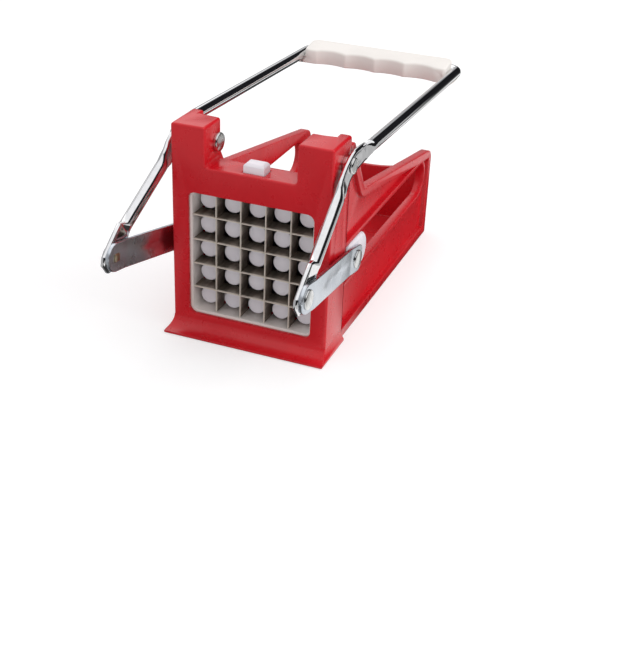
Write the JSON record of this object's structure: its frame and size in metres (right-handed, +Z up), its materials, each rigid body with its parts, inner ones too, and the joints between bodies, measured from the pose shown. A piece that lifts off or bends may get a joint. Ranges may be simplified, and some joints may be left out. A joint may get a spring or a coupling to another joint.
{
  "type": "french fry cutter",
  "caption": "Hand-lever french fry cutter: a pegged push plate driven by side links presses a potato through a square blade grid in a red tray frame.",
  "frame": {"origin": "middle of the front sill's lower edge, on the surface that the cutter stands on", "axes": "+X to the right as seen from the blade window, +Y back along the tray towards the handle's grip, +Z up"},
  "size_m": [0.1146, 0.2744, 0.1215],
  "materials": {
    "red_plastic": "glossy moulded plastic",
    "cream_plastic": "satin moulded plastic",
    "blade_steel": "ground stainless steel",
    "white_plastic": "satin to glossy moulded plastic",
    "bright_steel": "plated steel",
    "chrome_tube": "polished chrome plating",
    "grip_plastic": "satin moulded plastic",
    "satin_steel": "satin zinc plated steel"
  },
  "bodies": {
    "base": {"body": "red_plastic", "blade_frame": "cream_plastic", "vertical_blade_1": "blade_steel", "vertical_blade_2": "blade_steel", "vertical_blade_3": "blade_steel", "vertical_blade_4": "blade_steel", "horizontal_blade_1": "blade_steel", "horizontal_blade_2": "blade_steel", "horizontal_blade_3": "blade_steel", "horizontal_blade_4": "blade_steel", "pivot_bolt_left": "bright_steel", "pivot_bolt_right": "bright_steel", "pivot_spacer_left": "bright_steel", "pivot_spacer_right": "bright_steel"},
    "latch": {"cartridge_latch": "white_plastic"},
    "pusher": {"push_plate": "white_plastic", "pusher_carriage": "red_plastic", "slider_wing_left": "white_plastic", "slider_wing_right": "white_plastic", "lock_screw": "bright_steel"},
    "lock": {"plate_lock": "white_plastic"},
    "handle": {"handle_tube": "chrome_tube", "handle_grip": "grip_plastic", "crank_rivet_left": "bright_steel", "crank_rivet_right": "bright_steel"},
    "link_body_left": {"link_left": "satin_steel", "slider_rivet_left": "bright_steel"},
    "link_body_right": {"link_right": "satin_steel", "slider_rivet_right": "bright_steel"}
  },
  "joints": [
    {"name": "handle_hinge", "type": "hinge", "parent": "base", "child": "handle", "pos_m": [0, 0.0148, 0.1094], "axis": [1, 0, 0], "range_deg": [0, 85]},
    {"name": "pusher_slide", "type": "slide", "parent": "base", "child": "pusher", "axis": [0, 1, 0], "range_m": [0, 0.106]},
    {"name": "link_left_hinge", "type": "hinge", "parent": "handle", "child": "link_body_left", "pos_m": [-0.054, -0.04798, 0.06244], "axis": [1, 0, 0], "range_deg": [-73, 0]},
    {"name": "link_right_hinge", "type": "hinge", "parent": "handle", "child": "link_body_right", "pos_m": [0.0522, -0.04798, 0.06244], "axis": [1, 0, 0], "range_deg": [-73, 0]},
    {"name": "latch_press", "type": "slide", "parent": "base", "child": "latch", "axis": [0, 0, -1], "range_m": [0, 0.0022], "stiffness_N_per_m": 1500},
    {"name": "plate_lock_turn", "type": "hinge", "parent": "pusher", "child": "lock", "pos_m": [0, 0.0234, 0.046], "axis": [0, -1, 0], "range_deg": [0, 35]}
  ],
  "couplings": [
    {"joint": "pusher_slide", "follows": "handle_hinge", "m_per_rad": 0.071175},
    {"joint": "link_left_hinge", "follows": "handle_hinge", "ratio": -0.84754},
    {"joint": "link_right_hinge", "follows": "handle_hinge", "ratio": -0.84754}
  ]
}
